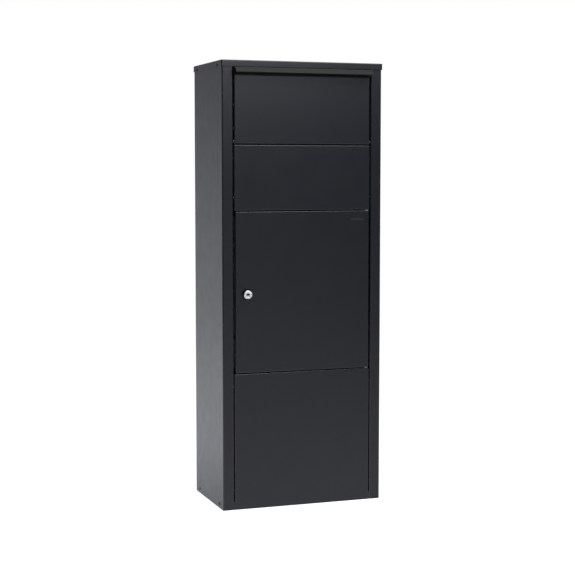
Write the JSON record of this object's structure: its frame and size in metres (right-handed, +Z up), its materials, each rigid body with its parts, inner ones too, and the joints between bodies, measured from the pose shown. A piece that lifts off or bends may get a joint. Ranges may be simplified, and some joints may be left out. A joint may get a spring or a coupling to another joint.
{
  "type": "parcel locker",
  "caption": "Free-standing steel parcel locker with a drop flap and tipping chute above a locked collection door.",
  "frame": {"origin": "centre of the cabinet's footprint on the floor, in the underside of the base plate", "axes": "+X to the right as one faces the front, +Y from the front to the back, +Z up"},
  "size_m": [0.5256, 0.33, 1.37],
  "materials": {
    "powder_coat": "fine matt powder coat",
    "galvanised_sheet": "galvanised sheet, dull",
    "zinc_plate": "zinc plated",
    "bright_fixings": "zinc plated",
    "pin_steel": "ground steel",
    "black_fixings": "black anodised",
    "rubber": "matt moulded rubber",
    "nylon": "natural nylon",
    "nylon_black": "black nylon",
    "rosette_black": "black, satin",
    "badge_enamel": "satin",
    "lock_chrome": "polished",
    "plug_nickel": "satin nickel",
    "rail_aluminium": "anodised, satin"
  },
  "bodies": {
    "root": {"left_side_panel": "powder_coat", "right_side_panel": "powder_coat", "rear_strips": "powder_coat", "back_panel": "powder_coat", "lid": "powder_coat", "base_plate": "powder_coat", "base_walls": "powder_coat", "lower_front_panel": "powder_coat", "mid_front_panel": "powder_coat", "front_header": "powder_coat", "back_ledge": "galvanised_sheet", "floor_mat": "rubber", "strike_strip": "zinc_plate", "strike_rivets": "bright_fixings", "hinge_brackets": "zinc_plate", "door_pins": "pin_steel", "flap_pivot_bolts": "black_fixings", "lid_rivets": "black_fixings", "base_rivets": "black_fixings", "back_rivets": "powder_coat", "panel_screws": "bright_fixings", "panel_nuts": "zinc_plate", "wall_plates": "zinc_plate", "ground_plates": "zinc_plate", "door_buffers": "rubber", "flap_buffers": "rubber", "flap_stop_brackets": "zinc_plate", "flap_stop_pads": "rubber"},
    "door": {"door_skin": "powder_coat", "door_stiffener": "powder_coat", "door_bushes": "nylon", "door_badge": "badge_enamel", "lock_housing": "lock_chrome", "lock_rosette": "rosette_black", "lock_nut": "lock_chrome"},
    "lock_rotor": {"lock_plug": "plug_nickel", "cam_washer": "zinc_plate", "lock_cam": "zinc_plate", "cam_screw": "bright_fixings"},
    "flap": {"flap_front": "powder_coat", "grip_rail": "rail_aluminium", "rail_rivets": "bright_fixings", "left_chute_cheek": "galvanised_sheet", "right_chute_cheek": "galvanised_sheet", "chute_floor": "galvanised_sheet", "chute_mat": "rubber", "flap_bushes": "nylon_black", "chute_rivets": "bright_fixings"}
  },
  "joints": [
    {"name": "door_swing", "type": "hinge", "parent": "root", "child": "door", "pos_m": [0.213, -0.143, 0.6686], "axis": [0, 0, 1], "range_deg": [0, 105]},
    {"name": "lock_turn", "type": "hinge", "parent": "door", "child": "lock_rotor", "pos_m": [-0.181, -0.14, 0.6635], "axis": [0, 1, 0], "range_deg": [0, 90]},
    {"name": "flap_swing", "type": "hinge", "parent": "root", "child": "flap", "pos_m": [0, -0.143, 1.1275], "axis": [1, 0, 0], "range_deg": [0, 60]}
  ]
}
